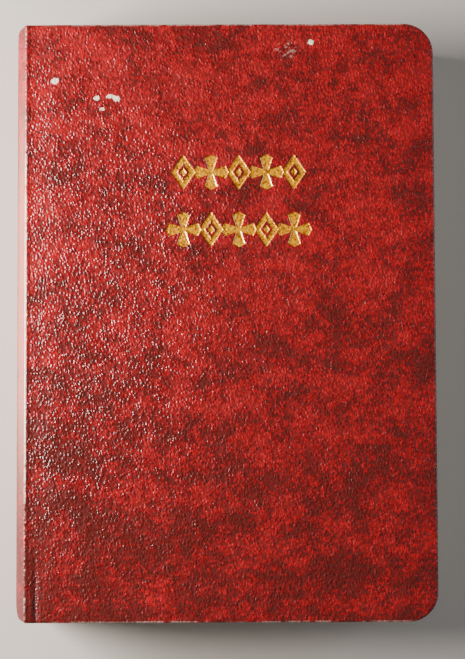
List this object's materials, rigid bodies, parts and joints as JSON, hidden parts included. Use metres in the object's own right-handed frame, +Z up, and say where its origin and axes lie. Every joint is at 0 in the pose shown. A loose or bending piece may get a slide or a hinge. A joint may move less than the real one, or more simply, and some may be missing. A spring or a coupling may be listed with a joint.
{
  "type": "bible",
  "caption": "Limp-bound bible with rounded fore-edge corners, opening covers, a rounded flexible spine and a block that opens at its middle.",
  "frame": {"origin": "middle of the underside of the closed book, on the surface it lies on", "axes": "+X from the spine to the fore-edge, +Y from the tail to the head, +Z up through the thickness, out of the front cover"},
  "size_m": [0.1434, 0.203, 0.028],
  "materials": {
    "cover_leatherette": "pebbled, semi-gloss",
    "gold_foil": "stamped foil",
    "endpaper": "matt",
    "bible_paper": "matt",
    "card": "matt",
    "glue": "dried glue",
    "mull": "open weave",
    "kraft_paper": "matt",
    "thread": "waxed",
    "band_silk": "woven"
  },
  "bodies": {
    "rear_half": {"rear_section_1": "bible_paper", "rear_section_2": "bible_paper", "rear_section_3": "bible_paper", "rear_section_4": "bible_paper", "rear_section_5": "bible_paper", "rear_section_6": "bible_paper", "rear_section_7": "bible_paper", "rear_section_8": "bible_paper", "rear_section_9": "bible_paper", "rear_section_10": "bible_paper", "rear_section_11": "bible_paper", "rear_section_12": "bible_paper", "rear_flyleaf": "endpaper", "rear_joint_leather": "cover_leatherette"},
    "back_cover": {"back_cover_leather": "cover_leatherette", "back_cover_card": "card", "back_pastedown": "endpaper"},
    "spine": {"spine_leather": "cover_leatherette", "spine_inlay": "card", "front_joint_leather": "cover_leatherette", "spine_glue": "glue", "mull_cloth": "mull", "spine_lining_paper": "kraft_paper", "sewing_thread": "thread", "headband": "band_silk", "tailband": "band_silk"},
    "front_half": {"front_section_1": "bible_paper", "front_section_2": "bible_paper", "front_section_3": "bible_paper", "front_section_4": "bible_paper", "front_section_5": "bible_paper", "front_section_6": "bible_paper", "front_section_7": "bible_paper", "front_section_8": "bible_paper", "front_section_9": "bible_paper", "front_section_10": "bible_paper", "front_section_11": "bible_paper", "front_section_12": "bible_paper"},
    "front_flyleaf": {"front_flyleaf": "endpaper"},
    "front_cover": {"front_cover_leather": "cover_leatherette", "front_cover_card": "card", "front_pastedown": "endpaper", "gold_upper_row": "gold_foil", "gold_lower_row": "gold_foil"}
  },
  "joints": [
    {"name": "back_cover_hinge", "type": "hinge", "parent": "rear_half", "child": "back_cover", "pos_m": [-0.0663, 0, 0.0008], "axis": [0, -1, 0], "range_deg": [-179.9, 0]},
    {"name": "book_opening", "type": "hinge", "parent": "rear_half", "child": "spine", "pos_m": [-0.0693, 0, 0.0044], "axis": [0, -1, 0], "range_deg": [0, 90]},
    {"name": "front_half_turn", "type": "hinge", "parent": "spine", "child": "front_half", "pos_m": [-0.0695, 0, 0.0256], "axis": [0, -1, 0], "range_deg": [0, 90]},
    {"name": "front_cover_hinge", "type": "hinge", "parent": "front_half", "child": "front_cover", "pos_m": [-0.0658, 0, 0.029], "axis": [0, 1, 0], "range_deg": [-179.9, 0]},
    {"name": "front_flyleaf_turn", "type": "hinge", "parent": "front_half", "child": "front_flyleaf", "pos_m": [-0.0658, 0, 0.029], "axis": [0, 1, 0], "range_deg": [-165.51, 0]}
  ],
  "couplings": [
    {"joint": "front_half_turn", "follows": "book_opening", "ratio": 1},
    {"joint": "front_flyleaf_turn", "follows": "front_cover_hinge", "ratio": 0.92}
  ]
}
